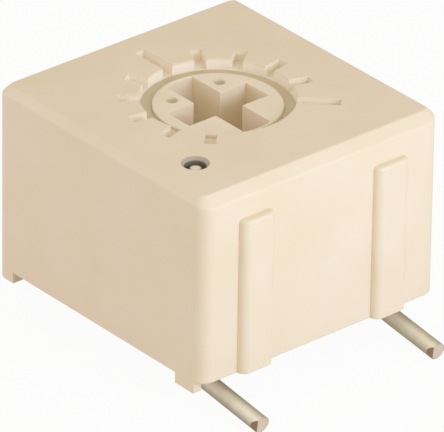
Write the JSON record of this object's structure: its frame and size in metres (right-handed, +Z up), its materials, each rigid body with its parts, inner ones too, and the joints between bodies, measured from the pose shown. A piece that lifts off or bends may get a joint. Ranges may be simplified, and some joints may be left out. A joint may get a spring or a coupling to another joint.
{
  "type": "trimmer potentiometer",
  "caption": "Small square single-turn trimming potentiometer with a grooved dial, a cross-slot rotor, upright ribs and formed round wire leads.",
  "frame": {"origin": "on the rotor's turning axis, in the plane of the board that the wire leads rest on", "axes": "+Z up along the rotor axis, out of the dial; -Y out of the ribbed face over its pair of leads, +Y towards the single rear lead; +X to the right seen from the ribbed face"},
  "size_m": [0.0068, 0.0092, 0.0055],
  "materials": {
    "housing_plastic": "satin",
    "rotor_plastic": "matte",
    "seal_rubber": "matte",
    "spring_alloy": "satin",
    "alumina": "matte",
    "track_film": "satin",
    "silver_film": "matte",
    "lead_wire": "satin",
    "solder": "gloss",
    "potting_compound": "matte"
  },
  "bodies": {
    "body": {"housing": "housing_plastic", "seal_ring": "seal_rubber", "substrate": "alumina", "resistive_track": "track_film", "end_pad_1": "silver_film", "end_pad_3": "silver_film", "collector": "silver_film", "terminal_1": "lead_wire", "terminal_2": "lead_wire", "terminal_3": "lead_wire", "solder_1": "solder", "solder_2": "solder", "solder_3": "solder", "potting": "potting_compound"},
    "turning": {"rotor": "rotor_plastic", "wiper_spring": "spring_alloy"}
  },
  "joints": [
    {"name": "rotor_turn", "type": "hinge", "parent": "body", "child": "turning", "pos_m": [0, 0, 0.00477], "axis": [0, 0, 1], "range_deg": [-135, 135]}
  ]
}
